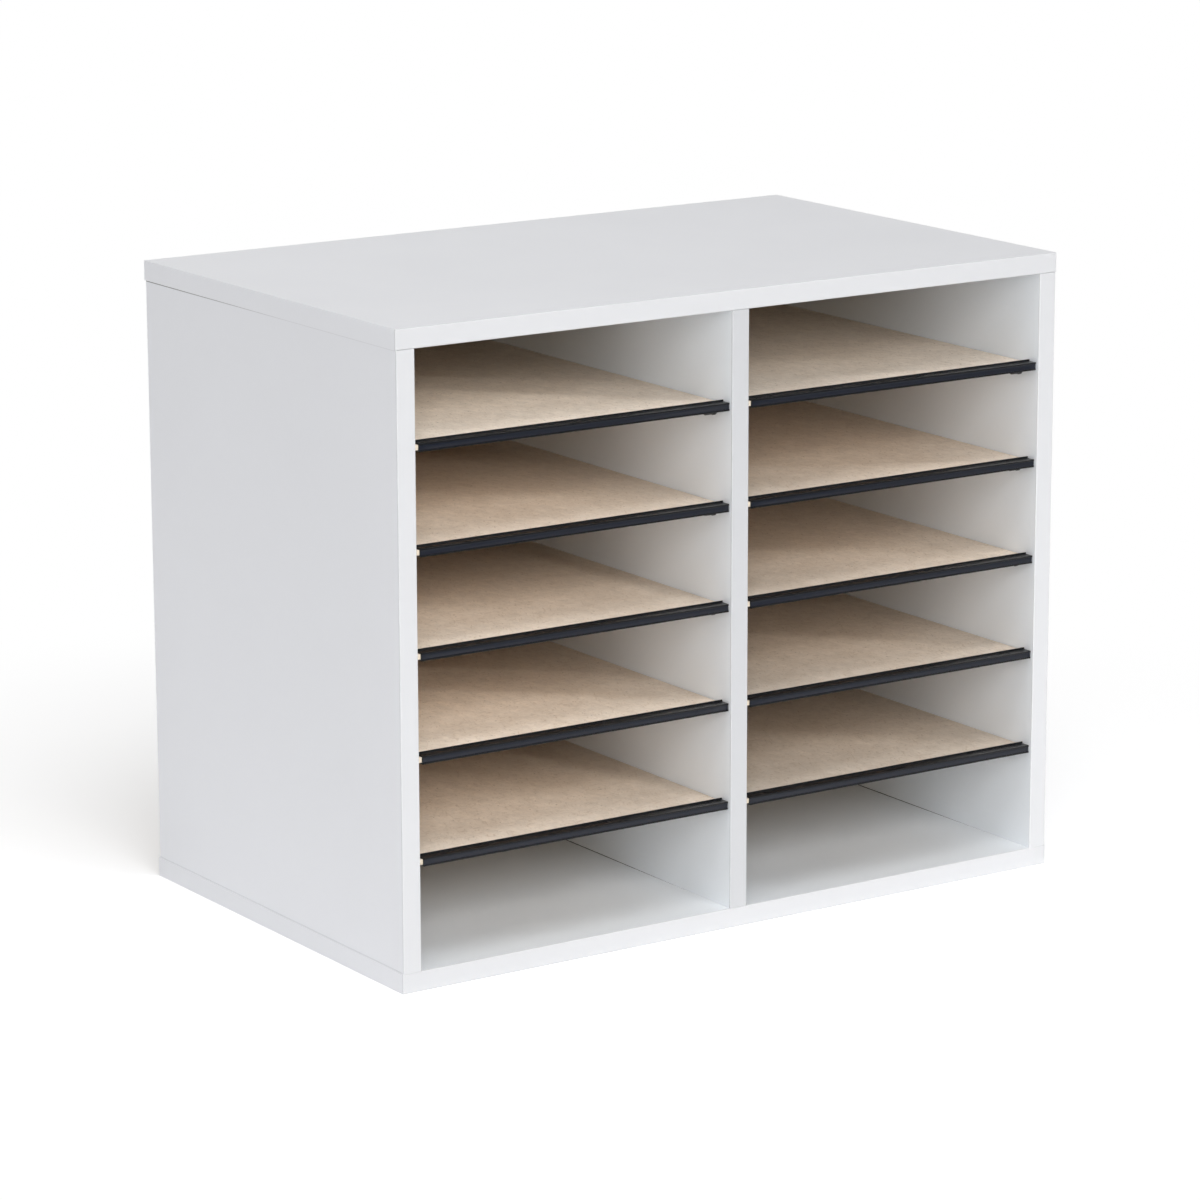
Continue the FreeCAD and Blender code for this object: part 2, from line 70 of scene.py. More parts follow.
# Rows of dowels from front to rear. Flutes and bevel are shares of a dowel's radius.
DOWEL_ROWS = {"top_dowels": 3, "bottom_dowels": 1}
FLUTE_MIDDLE, FLUTE_DEPTH, BEVEL_END = 0.985, 0.03, 0.80
NAIL_APART = 5 * MM
LABEL_SEED = 50

# Lamps: azimuth (0 in front, growing to the right) and elevation in degrees, width and
# height in metres, and whether glossy faces mirror the lamp
LAMP_DISTANCE = 3.2
LAMPS = {
    "front_lamp": (-12, 21, (3.4, 1.6), False),
    "high_lamp": (-25, 62, (2.6, 1.2), True),
    "side_lamp": (-75, 11, (1.8, 1.4), True),
    "top_lamp": (0, 86, (2.4, 2.0), True),
    "back_lamp": (165, 15, (2.6, 1.6), False),
}

# Camera: place in metres, direction and roll in degrees
CAMERA_PLACE = (-1.675434, -2.495701, 0.892367)
CAMERA_AZIMUTH, CAMERA_ELEVATION, CAMERA_ROLL = -33.839, 13.303, -0.143
SENSOR_WIDTH = 36.0
CLIP = (0.1, 100.0)

# Floor: its own light near the organizer, where it fades to white for the camera, and how
# dim its far front looks in glossy faces
FLOOR_HALF = 30.0
FLOOR_GAP = 0.05 * MM
FLOOR_GLOW = 0.42
FADE_FROM, FADE_TO = 0.30, 0.78
FRONT_DIM = 0.12
DIM_FROM, DIM_TO = -0.45, -1.2

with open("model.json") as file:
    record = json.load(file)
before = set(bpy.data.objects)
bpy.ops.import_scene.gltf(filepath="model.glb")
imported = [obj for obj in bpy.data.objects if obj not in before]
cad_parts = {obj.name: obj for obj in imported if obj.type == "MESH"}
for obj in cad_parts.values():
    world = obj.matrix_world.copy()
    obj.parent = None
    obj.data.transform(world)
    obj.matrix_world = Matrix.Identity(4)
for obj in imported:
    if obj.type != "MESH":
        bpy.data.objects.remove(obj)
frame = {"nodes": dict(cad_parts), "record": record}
CAD_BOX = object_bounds()

RECORD = frame["record"]
BODY_OF = {node: body for body, nodes in RECORD["behaviour"]["bodies"].items() for node in nodes}
SHELF_NAMES = sorted(body for body in RECORD["behaviour"]["bodies"] if "_shelf_" in body)
SHELF_LOW, SHELF_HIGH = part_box("left_shelf_1")
SHELF_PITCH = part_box("left_shelf_2")[0].z - SHELF_LOW.z
BOARD_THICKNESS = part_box("bottom_panel")[1].z
CABINET_HEIGHT = CAD_BOX[1].z
SIDE_MIDDLE = sum(corner.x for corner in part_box("right_front_band")) / 2
INNER_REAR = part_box("back_panel")[0].y
INNER_HALF = (CABINET_HEIGHT - BOARD_THICKNESS) / 2


# Settings

def colour(about, default):
    return FloatVectorProperty(description="Colour of " + about, default=default,
                               subtype="COLOR", size=3, min=0.0, max=1.0)


def length(about, millimetres):
    return FloatProperty(description=about, default=millimetres * MM, unit="LENGTH",
                         subtype="DISTANCE", min=0.0, precision=4)


def power(about, watts):
    return FloatProperty(description="Power of " + about, default=watts, unit="POWER", min=0.0)


def share(about, default):
    return FloatProperty(description=about, default=default, subtype="FACTOR", min=0.0, max=1.0)


class BoardSettings(PropertyGroup):
    laminate: colour("the white laminate", (0.85, 0.858, 0.888))
    # Painted light and shade inside: a paler, cooler copy of the white at the front, and a darker,
    # warmer copy at the rear for the dim brown light among the shelves
    inner: colour("the laminate inside, at the front", (0.845, 0.880, 0.915))
    inner_painted_rear_shade: colour("the laminate inside, at the rear", (0.74, 0.715, 0.665))
    band: colour("the outer front bands", (0.66, 0.666, 0.682))
    divider_band: colour("the divider's band", (0.566, 0.573, 0.590))
    core: colour("the light chips in the core", (0.50, 0.36, 0.22))
    core_dark: colour("the dark chips in the core", (0.20, 0.12, 0.065))
    # Painted shadow: the dark colour painted along the joints between boards, for the shade in
    # their open gaps
    seam: colour("the seams where boards meet", (0.045, 0.038, 0.03))
    skin: length("Thickness of the laminate on each face", 0.25)
    # Painted shadow: the height of the dark band painted at the rear of a joint
    seam_shadow_width: length("Height of the open seam at the rear of a joint", 0.55)
    roughness: share("Roughness of the laminate", 0.40)


class ShelfSettings(PropertyGroup):
    face: colour("the pressed face", (0.76, 0.64, 0.52))
    fibre: colour("the dark fibres and blotches", (0.50, 0.375, 0.265))
    edge: colour("the sawn edges", (0.80, 0.70, 0.56))
    # Painted sheen: a paler colour toward the front of each shelf, for the lamps' sheen at a
    # grazing angle
    bloom: colour("the pale bloom toward the front", (0.84, 0.79, 0.72))
    back: colour("the cabinet's back panel", (0.47, 0.34, 0.22))
    mottle: length("Size of the pale and dark patches", 14.0)
    tone_spread: share("How far the tone of one shelf may be from the next", 0.16)
    tone_seed: IntProperty(description="Seed of the tones", default=479647)
    fibre_size: length("Width of one fibre bundle", 1.3)
    edge_round: length("Rounding of the sawn edges", 0.2)
    saw_wander: length("How far the sawn edge wanders inwards", 0.06)


class HolderSettings(PropertyGroup):
    moulding: colour("the label holder", (0.0045, 0.0050, 0.0065))
    label: colour("the blank label strip", (0.0055, 0.0075, 0.0150))
    wall: length("Thickness of the two flanges", 0.9)
    lip: length("Height of each lip over the label", 1.05)
    lip_wall: length("Thickness of each lip", 0.3)
    groove: length("Depth of the groove for the label", 0.5)
    margin: length("How far the groove runs behind each flange", 0.5)
    web: length("Thickness of the wall between label and shelf", 0.6)
    rib: length("Height and thickness of the rib at the rear", 1.0)
    burr: length("Length of the eased edge at the sawn ends", 0.12)


class HardwareSettings(PropertyGroup):
    pin: colour("the shelf pins", (0.008, 0.008, 0.009))
    steel: colour("the plated steel", (0.60, 0.585, 0.54))
    dowel: colour("the raw dowels", (0.62, 0.43, 0.25))
    peg_diameter: length("Diameter of the part in the board", 5.0)
    peg_depth: length("How far a pin goes into the board", 5.8)
    collar_diameter: length("Diameter of the pin's collar", 5.6)
    collar_thickness: length("Thickness of the pin's collar", 2.0)
    finger_diameter: length("Diameter of the pin's finger", 4.8)
    finger_length: length("How far a pin reaches out of the board", 7.5)
    seat_width: length("Width of the flat seat on a pin", 4.6)
    drop: length("Height of the seat over the pin's axis", 3.3)
    dowel_diameter: length("Diameter of a dowel", 6.0)
    dowel_bevel: length("Length of the bevel at a dowel's ends", 0.6)
    flutes: IntProperty(description="Grooves round a dowel", default=14, min=6)
    screw_head: length("Diameter of the countersunk head", 8.0)
    screw_shank: length("Diameter over the thread", 3.9)
    recess_length: length("Length of the cross recess", 4.2)
    recess_width: length("Width of the cross recess", 1.1)
    recess_depth: length("Depth of the cross recess", 1.5)
    thread_depth: length("Depth of the thread", 0.35)
    thread_pitch: length("Distance between the thread's turns", 1.6)
    nail_head: length("Diameter of a nail's head", 3.4)
    nail_shank: length("Diameter of a nail's shank", 1.4)


class StudioSettings(PropertyGroup):
    floor: colour("the floor", (0.93, 0.93, 0.935))
    surround: share("Strength of the light from all round", 0.03)
    front_lamp: power("the wide lamp in front", 84.0)
    high_lamp: power("the lamp above the front", 32.0)
    side_lamp: power("the lamp on the left", 19.0)
    top_lamp: power("the lamp overhead", 15.0)
    back_lamp: power("the lamp behind", 16.0)
    lens: FloatProperty(description="Focal length on a 36 mm sensor", default=143.13,
                        min=10.0, subtype="DISTANCE_CAMERA")


class OrganizerSettings(PropertyGroup):
    boards: PointerProperty(type=BoardSettings)
    shelves: PointerProperty(type=ShelfSettings)
    holders: PointerProperty(type=HolderSettings)
    hardware: PointerProperty(type=HardwareSettings)
    studio: PointerProperty(type=StudioSettings)


# Shader maths

class Socket:
    """An output of a shader node, on which Python's operators add Math nodes."""

    def __init__(self, finish, output):
        self.finish = finish
        self.output = output

    def __add__(self, other):
        return self.finish.maths("ADD", self, other)

    __radd__ = __add__

    def __sub__(self, other):
        return self.finish.maths("SUBTRACT", self, other)

    def __rsub__(self, other):
        return self.finish.maths("SUBTRACT", other, self)

    def __mul__(self, other):
        return self.finish.maths("MULTIPLY", self, other)

    __rmul__ = __mul__

    def __truediv__(self, other):
        return self.finish.maths("DIVIDE", self, other)

    def __mod__(self, other):
        return self.finish.maths("FLOORED_MODULO", self, other)

    def __abs__(self):
        return self.finish.maths("ABSOLUTE", self)

    def __gt__(self, other):
        return self.finish.maths("GREATER_THAN", self, other)


class Nodes:
    """A node tree, and the sums that its nodes are made for."""

    def __init__(self, tree):
        self.tree = tree
        self.tree.nodes.clear()

    def add(self, kind, settings, sockets, output=0):
        """Add one node of any type: its settings, then the values or links of its sockets."""
        node = self.tree.nodes.new("ShaderNode" + kind)
        for name, value in settings.items():
            setattr(node, name, value)
        for name, value in sockets.items():
            if isinstance(value, Socket):
                self.tree.links.new(value.output, node.inputs[name])
            else:
                node.inputs[name].default_value = value
        return Socket(self, node.outputs[output])

    def maths(self, operation, *values):
        return self.add("Math", {"operation": operation}, dict(enumerate(values)))

    def least(self, first, second):
        return self.maths("MINIMUM", first, second)

    def most(self, first, second):
        return self.maths("MAXIMUM", first, second)

    def smooth(self, value, low, high):
        """Rise from 0 at low to 1 at high, or fall where low is above high."""
        return self.add("MapRange", {"interpolation_type": "SMOOTHSTEP"},
                        {"Value": value, "From Min": low, "From Max": high})

    def mix(self, factor, first, second, blend="MIX"):
        """Mix two colours, given as three numbers or as a link."""
        first, second = [c if isinstance(c, Socket) else (*c, 1.0) for c in (first, second)]
        return self.add("Mix", {"data_type": "RGBA", "blend_type": blend, "clamp_factor": True},
                        {0: factor, 6: first, 7: second}, 2)

    def brightness(self, paint, factor):
        """Multiply a colour by a number that changes over the surface."""
        grey = self.add("CombineColor", {}, {"Red": factor, "Green": factor, "Blue": factor})
        return self.mix(1.0, paint, grey, "MULTIPLY")

    def blend(self, factor, first, second):
        """Blend two shaders."""
        return self.add("MixShader", {}, {0: factor, 1: first, 2: second})

    def light_path(self, output):
        """1 for the named kind of ray and 0 for others."""
        return self.add("LightPath", {}, {}, output)

    def close(self, shader, kind):
        """Link the shader to the output of a material or of the world."""
        output = self.tree.nodes.new("ShaderNodeOutput" + kind)
        self.tree.links.new(shader.output, output.inputs["Surface"])


class Finish(Nodes):
    """The nodes of one material, in the coordinates of the organizer."""

    def __init__(self, name):
        self.material = bpy.data.materials.new(name)
        self.material.use_nodes = True
        super().__init__(self.material.node_tree)
        self.point = self.add("TexCoord", {}, {}, "Object")
        self.x, self.y, self.z = [self.add("SeparateXYZ", {}, {"Vector": self.point}, axis)
                                  for axis in "XYZ"]

    def stretch(self, factors, point=None):
        """Scale the coordinates: a factor below 1 draws a pattern out along that axis."""
        return self.add("VectorMath", {"operation": "MULTIPLY"},
                        {0: point or self.point, 1: factors})

    def turn(self, degrees):
        """Turn the coordinates about the upright axis."""
        return self.add("VectorRotate", {"rotation_type": "Z_AXIS"},
                        {"Vector": self.point, "Angle": math.radians(degrees)})

    def noise(self, size, detail=2.0, roughness=0.5, point=None, distortion=0.0):
        """Cloudy values around 0.5, whose patches are about as large as size, in metres."""
        return self.add("TexNoise", {}, {
            "Vector": point or self.point, "Scale": 1 / size, "Detail": detail,
            "Roughness": roughness, "Distortion": distortion})

    def cells(self, size, output, point=None, feature="F1"):
        """The colour of, or the distance in, the cells of a pattern about as large as size."""
        return self.add("TexVoronoi", {"feature": feature},
                        {"Vector": point or self.point, "Scale": 1 / size}, output)

    def facing(self, axis):
        """How far the surface faces along one axis, from 0 to 1, both ways alike."""
        normal = self.add("NewGeometry", {}, {}, "True Normal")
        return abs(self.add("SeparateXYZ", {}, {"Vector": normal}, axis))

    def surface(self, paint, roughness, relief, **constants):
        """Close the material. Relief is a height in millimetres."""
        bump = self.add("Bump", {}, {"Height": relief, "Distance": MM, "Strength": 1.0})
        sockets = {"Base Color": paint, "Roughness": roughness, "Normal": bump}
        sockets.update({name.replace("_", " "): value for name, value in constants.items()})
        self.close(self.add("BsdfPrincipled", {}, sockets), "Material")
        return self.material


# Finishes

def chipboard(finish, settings, across):
    """Colour and relief of raw chipboard; across is the axis through the board's thickness."""
    chip = 2.6 * MM
    flat = {"X": (3.2, 1.0, 1.0), "Z": (1.0, 1.0, 3.2)}[across]
    grain = finish.stretch(flat)
    tone = finish.add("SeparateColor", {}, {"Color": finish.cells(chip, "Color", grain)}, "Red")
    gaps = finish.smooth(finish.cells(chip, "Distance", grain, "DISTANCE_TO_EDGE"), 0.0, 0.14)
    fine = finish.noise(0.7 * MM, 3.0, 0.6, grain)
    pale = finish.smooth(tone * 0.7 + fine * 0.5, 0.25, 0.95)
    paint = finish.mix(pale, settings.core_dark, settings.core)
    # Dark lines between the chips: partly the dark glue of the core, partly painted shade in the
    # dips between chips
    paint = finish.brightness(paint, 0.55 + gaps * 0.45)
    return paint, gaps * 0.14 + fine * 0.12 + tone * 0.08


def painted_height_light(finish, amount):
    """Painted light: a little more brightness toward the cabinet's foot, and a little less toward
    its head.
    """
    return 1.0 + amount - finish.z * (2.0 * amount / CABINET_HEIGHT)


def laminate(name, settings, across, off_middle, seam_shadows=None):
    """White laminate on both faces of a board, raw chipboard wherever the board is cut."""
    finish = Finish(name)
    under_face = BOARD_THICKNESS / 2 - off_middle(finish)
    cut = under_face > settings.skin
    raw, raw_relief = chipboard(finish, settings, across)
    cloud = finish.noise(160 * MM, 3.0)
    haze = finish.noise(38 * MM, 4.0, 0.6)
    pearl = finish.noise(0.9 * MM, 2.0, 0.6)
    outside = finish.most(abs(finish.x) > SIDE_MIDDLE,
                          abs(finish.z - CABINET_HEIGHT / 2) > INNER_HALF)
    # Painted shade: inside, the white turns to the darker, warmer rear colour toward the back
    inner = finish.mix(finish.smooth(finish.y, -0.06, 0.08), settings.inner, settings.inner_painted_rear_shade)
    # Painted light: the outer white is a little lighter toward the rear
    to_rear = finish.smooth(finish.y, -0.12, 0.15)
    outer = finish.brightness(settings.laminate, 1.0 + 0.065 * to_rear)
    white = finish.mix(outside, inner, outer)
    # Painted light: the white is a little lighter toward the cabinet's foot
    white = finish.brightness(white, painted_height_light(finish, 0.03))
    white = finish.brightness(white, 0.985 + cloud * 0.022 + haze * 0.008 + (pearl - 0.5) * 0.012)
    # Painted shadow: the dark joint colour goes where the masks draw the joints as open
    if seam_shadows:
        white = finish.mix(seam_shadows(finish), white, settings.seam)
    paint = finish.mix(cut, white, raw)
    smudge = finish.smooth(finish.noise(60 * MM, 5.0, 0.65, distortion=0.6), 0.35, 0.75)
    sheen = settings.roughness + smudge * 0.07 + (pearl - 0.5) * 0.08
    roughness = sheen + cut * (0.92 - sheen)
    relief = pearl * 0.011 + cut * raw_relief + finish.noise(7 * MM, 1.0) * 0.004
    return finish.surface(paint, roughness, relief, IOR=1.47, Specular_IOR_Level=0.4)


def pick_side(finish, inner, outer):
    """Take one value inside the cabinet and the other on its outer sides."""
    outside = abs(finish.x) > SIDE_MIDDLE
    return inner + outside * (outer - inner)


def foot_seam_shadow(finish, settings):
    """Painted shadow of the joint at an upright board's foot, as if open at the rear inside, and a
    faint line outside.
    """
    width = settings.seam_shadow_width
    broken = finish.noise(5 * MM, 4.0, 0.7)
    openness = finish.smooth(finish.y, -0.115, 0.02) * (0.55 + broken * 0.9)
    over_foot = finish.z - BOARD_THICKNESS
    inner = finish.smooth(over_foot, openness * width, openness * width * 0.7)
    outer = finish.smooth(over_foot, width * 1.6, width) * (0.10 + broken * 0.12)
    return pick_side(finish, inner, outer)


def head_seam_shadow(finish, settings):
    """Painted shadow of the joint under the top panel, as if it gaped outside at the rear."""
    width = settings.seam_shadow_width
    broken = finish.noise(9 * MM, 4.0, 0.7)
    openness = finish.smooth(finish.y, -0.10, 0.15) * broken * 0.8
    below_top = CABINET_HEIGHT - BOARD_THICKNESS - finish.z
    inner = finish.smooth(below_top, openness * width, openness * width * 0.5) * 0.7
    gape = 0.07 + broken * 0.10 + 0.83 * finish.smooth(finish.y, -0.04, 0.14)
    outer = finish.smooth(below_top, width * 1.3, width * 0.8) * gape
    return pick_side(finish, inner, outer)


def upright_seam_shadows(settings):
    """Painted shadows in the joints of an upright board, at its foot and at its head."""
    return lambda finish: finish.most(foot_seam_shadow(finish, settings), head_seam_shadow(finish, settings))


def floor_seam_shadows(settings):
    """Painted shadows of the same joints, seen in the bottom panel beside each upright board."""
    def mask(finish):
        side = abs(finish.x)
        side_inner = SIDE_MIDDLE - BOARD_THICKNESS / 2
        beside = finish.least(abs(side - BOARD_THICKNESS / 2), abs(side - side_inner))
        openness = finish.smooth(finish.y, -0.10, 0.03) * finish.noise(6 * MM, 4.0, 0.7)
        half = openness * settings.seam_shadow_width * 0.6
        return finish.smooth(beside, half, half * 0.6) * (finish.z > BOARD_THICKNESS - 0.1 * MM)
    return mask


def front_painted_light(finish):
    """Painted light: the front bands are a little lighter to the right, and most so at its foot.
    """
    return painted_height_light(finish, 0.0625 + finish.x * 0.073) * (1.03 + finish.x * 0.20)


def end_painted_light(finish):
    """Painted light: the end bands are a little lighter to the rear."""
    return painted_height_light(finish, 0.02) * (1.0 + 0.05 * finish.smooth(finish.y, -0.12, 0.15))


def edge_band(name, tint, shade):
    """Thin white band: a soft satin with the faint ripple of the glue beneath it."""
    finish = Finish(name)
    ripple = finish.noise(9 * MM, 3.0, 0.6)
    fine = finish.noise(0.6 * MM, 2.0)
    # Painted light across the band, from the function given
    paint = finish.brightness(tint, shade(finish))
    paint = finish.brightness(paint, 0.985 + ripple * 0.02 + fine * 0.006)
    scuff = finish.smooth(finish.noise(22 * MM, 6.0, 0.7, distortion=0.8), 0.5, 0.8)
    roughness = 0.34 + scuff * 0.08 + fine * 0.04
    return finish.surface(paint, roughness, ripple * 0.010 + fine * 0.004, IOR=1.47)


def pressed_fibre(finish, settings, face):
    """Colour, roughness and relief of a smooth pressed fibreboard face."""
    patches = finish.noise(settings.mottle, 4.0, 0.62)
    cloud = finish.noise(settings.mottle * 4.5, 2.0)
    size = settings.fibre_size
    strands = [finish.noise(size, 3.0, 0.55,
                            finish.stretch((1.0, 0.22, 1.0), finish.turn(angle)), 0.35)
               for angle in (24, 83, 141)]
    dark = finish.smooth(finish.most(strands[0], strands[1]), 0.55, 0.75)
    pale = finish.smooth(strands[2], 0.55, 0.78)
    spot_size = 4.6 * MM
    lot = finish.add("SeparateColor", {}, {"Color": finish.cells(spot_size, "Color")}, "Green")
    spot = finish.smooth(finish.cells(spot_size, "Distance"), 0.17, 0.05) * (lot > 0.74)
    tone = finish.smooth(patches * 0.75 + cloud * 0.45, 0.42, 0.78)
    fleece = finish.noise(settings.mottle * 0.35, 5.0, 0.72,
                          finish.stretch((1.0, 0.55, 1.0)), 0.5)
    # Painted sheen: the face turns paler toward the front
    face = finish.mix(0.42 * finish.smooth(finish.y, -0.02, -0.15), face, settings.bloom)
    # Painted light: the shelves are a little lighter toward the cabinet's sides and darker beside
    # the divider
    face = finish.brightness(face, 0.94 + 0.14 * finish.smooth(abs(finish.x), 0.01, 0.2))
    face = finish.brightness(face, 0.75 + fleece * 0.50)
    paint = finish.mix(0.22 * (1.0 - tone) + dark * 0.42, face, settings.fibre)
    paint = finish.mix(pale * 0.34, paint, settings.edge)
    paint = finish.mix(spot * 0.65, paint, [part * 0.45 for part in settings.fibre])
    grit = finish.noise(0.35 * MM, 2.0, 0.6)
    relief = dark * -0.010 + pale * 0.008 + grit * 0.010 + patches * 0.012
    return paint, 0.52 + grit * 0.10 + dark * 0.08, relief


def fibreboard(name, settings):
    """The shelves: pressed faces above and below, fuzzy pale sawn edges between them."""
    finish = Finish(name)
    thickness = SHELF_HIGH.z - SHELF_LOW.z
    above = (finish.z - SHELF_LOW.z) % SHELF_PITCH
    depth = finish.least(above, thickness - above)
    edge = finish.smooth(depth, 0.12 * MM, 0.3 * MM) * finish.smooth(finish.facing("Z"), 0.9, 0.6)
    face, roughness, relief = pressed_fibre(finish, settings, settings.face)
    face = finish.mix(1.0, face, finish.add("ObjectInfo", {}, {}, "Color"), "MULTIPLY")
    layers = finish.noise(0.4 * MM, 3.0, 0.6, finish.stretch((0.25, 0.25, 1.6)))
    fuzz = finish.noise(0.3 * MM, 3.0, 0.7)
    sawn = finish.brightness(settings.edge, 0.72 + layers * 0.34 + fuzz * 0.2)
    return finish.surface(finish.mix(edge, face, sawn), roughness + edge * 0.3,
                          relief + edge * fuzz * 0.09, IOR=1.45)


def back_board(name, settings):
    """The cabinet's back: pressed smooth inside, printed by a wire screen outside."""
    finish = Finish(name)
    face, roughness, relief = pressed_fibre(finish, settings, settings.back)
    behind = finish.smooth(finish.y, INNER_REAR + 2 * MM, INNER_REAR + 3 * MM)
    wander = finish.noise(16 * MM, 2.0) * 1.2 * MM
    mesh = 1.7 * MM
    turns = 2 * math.pi / mesh
    across = finish.maths("SINE", (finish.x + wander) * turns)
    upward = finish.maths("SINE", (finish.z + wander) * turns)
    screen = across * upward * 0.5 + 0.5
    paint = finish.brightness(face, 1.0 - behind * (0.20 - screen * 0.16))
    return finish.surface(paint, roughness + behind * 0.2, relief + behind * screen * 0.06,
                          IOR=1.45)


def extruded_plastic(name, tint):
    """Black extrusion with faint lines along its length and a little dust."""
    finish = Finish(name)
    lines = finish.noise(0.35 * MM, 2.0, 0.6, finish.stretch((0.004, 1.0, 1.0)))
    drag = finish.noise(1.6 * MM, 3.0, 0.6, finish.stretch((0.03, 1.0, 1.0)))
    dust = finish.smooth(finish.noise(0.5 * MM, 4.0, 0.75), 0.68, 0.82)
    patches = finish.noise(26 * MM, 3.0)
    paint = finish.mix(dust * 0.07 + patches * 0.01, tint, (0.20, 0.20, 0.21))
    roughness = 0.20 + lines * 0.08 + patches * 0.08 + dust * 0.2
    return finish.surface(paint, roughness, lines * 0.010 + drag * 0.014, IOR=1.49,
                          Specular_IOR_Level=0.25)


def moulded_plastic(name, tint):
    """Black plastic with the fine spark-eroded skin of a mould."""
    finish = Finish(name)
    skin = finish.noise(0.22 * MM, 3.0, 0.6)
    flow = finish.noise(3 * MM, 3.0, distortion=1.2)
    paint = finish.mix(flow * 0.03 + skin * 0.02, tint, (0.25, 0.25, 0.25))
    return finish.surface(paint, 0.38 + skin * 0.18, skin * 0.02 + flow * 0.01, IOR=1.5)


def label_card(name, tint):
    """Dark blank card with a slight tooth."""
    finish = Finish(name)
    tooth = finish.noise(0.28 * MM, 4.0, 0.7)
    fibres = finish.noise(0.5 * MM, 3.0, 0.6, finish.stretch((0.22, 1.0, 1.0)))
    paint = finish.mix(finish.smooth(fibres, 0.45, 0.85) * 0.35, tint,
                       [part * 2.2 for part in tint])
    return finish.surface(paint, 0.22 + tooth * 0.16, tooth * 0.008 + fibres * 0.006, IOR=1.45,
                          Specular_IOR_Level=0.5)


def plated_steel(name, tint):
    """Zinc plate: a soft spangle, fine turned lines and duller patches."""
    finish = Finish(name)
    spangle = finish.noise(0.8 * MM, 3.0, 0.6)
    dull = finish.smooth(finish.noise(3.5 * MM, 4.0, 0.7), 0.42, 0.75)
    scratch = finish.noise(0.12 * MM, 2.0, 0.5, finish.stretch((1.0, 0.12, 1.0)))
    paint = finish.mix(dull * 0.5, tint, (0.36, 0.33, 0.27))
    return finish.surface(paint, 0.24 + dull * 0.22 + scratch * 0.10,
                          scratch * 0.006 + spangle * 0.01, Metallic=1.0)


def dowel_wood(name, tint):
    """Raw beech along Z, with its short dark flecks."""
    finish = Finish(name)
    grain = finish.noise(0.9 * MM, 4.0, 0.6, finish.stretch((1.0, 1.0, 0.07)), 0.4)
    fleck = finish.noise(0.5 * MM, 2.0, 0.5, finish.stretch((1.0, 1.0, 0.2)))
    fleck = finish.smooth(fleck, 0.62, 0.75)
    paint = finish.brightness(tint, 0.72 + grain * 0.5)
    paint = finish.mix(fleck * 0.45, paint, [part * 0.4 for part in tint])
    return finish.surface(paint, 0.72 + grain * 0.15, grain * 0.05 - fleck * 0.02, IOR=1.45)


# Shapes

def new_object(name, data):
    """Put a new object into the scene."""
    item = bpy.data.objects.new(name, data)
    bpy.context.scene.collection.objects.link(item)
    return item


def new_piece(name, shape, material, node, sharp_degrees=35.0):
    """Turn a finished shape into the piece that stands for a CAD node and rides on its body."""
    bmesh.ops.recalc_face_normals(shape, faces=shape.faces)
    mesh = bpy.data.meshes.new(name)
    shape.to_mesh(mesh)
    shape.free()
    mesh.shade_smooth()
    mesh.set_sharp_from_angle(angle=math.radians(sharp_degrees))
    mesh.materials.append(material)
    piece = new_object(name, mesh)
    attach(piece, BODY_OF[node])
    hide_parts(node)
    return piece


def each_shelf(kind):
    """Each shelf's node of one kind, with its box and an empty shape for it."""
    for shelf in SHELF_NAMES:
        node = shelf.replace("shelf", kind)
        yield (node, *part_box(node), bmesh.new())


def paint_node(node, material):
    """Give a CAD node its material."""
    item = frame["nodes"][node]
    if not item.material_slots:
        item.data.materials.append(material)
    for place in item.material_slots:
        place.material = material


def bridge(shape, rings):
    """Join closed rings of vertices into a skin, and close both of its ends."""
    for low, high in zip(rings, rings[1:]):
        for index in range(len(low)):
            following = (index + 1) % len(low)
            shape.faces.new((low[index], low[following], high[following], high[index]))
    for ring in (rings[0], rings[-1]):
        shape.faces.new(ring)


def rounded(corners):
    """Turn corners, each with its own radius, into a smooth closed outline."""
    outline = []
    for index, (across, up, radius) in enumerate(corners):
        here = Vector((across, up))
        before = Vector(corners[index - 1][:2]) - here
        after = Vector(corners[(index + 1) % len(corners)][:2]) - here
        if radius <= 0:
            outline.append(here)
            continue
        half = before.angle(after) / 2
        reach = min(radius / math.tan(half), before.length * 0.49, after.length * 0.49)
        start, end = here + before.normalized() * reach, here + after.normalized() * reach
        for step in range(CORNER_STEPS + 1):
            t = step / CORNER_STEPS
            outline.append(start * (1 - t) ** 2 + here * 2 * t * (1 - t) + end * t ** 2)
    return outline


def wrap(shape, origin, along, upward, profile, angles):
    """Skin a row of cross-sections, each a distance along the axis and its radius."""
    sideways = along.cross(upward)
    rings = []
    for distance, radius in profile:
        ring = []
        for angle in angles:
            reach = radius(angle) if callable(radius) else radius
            spoke = sideways * math.cos(angle) + upward * math.sin(angle)
            ring.append(shape.verts.new(origin + along * distance + spoke * reach))
        rings.append(ring)
    bridge(shape, rings)


def round_angles(count, *extra):
    """Angles evenly round a circle, with those of any corners put in."""
    even = [2 * math.pi * index / count for index in range(count)]
    spare = math.pi / count * 0.5
    kept = [angle for angle in even if all(abs(angle - other) > spare for other in extra)]
    return sorted(kept + list(extra))


def inset(point, middle, distance):
    """Move a point of an outline toward the middle by a distance along each axis."""
    toward = middle - point
    return point + Vector([math.copysign(min(abs(part), distance), part) for part in toward])


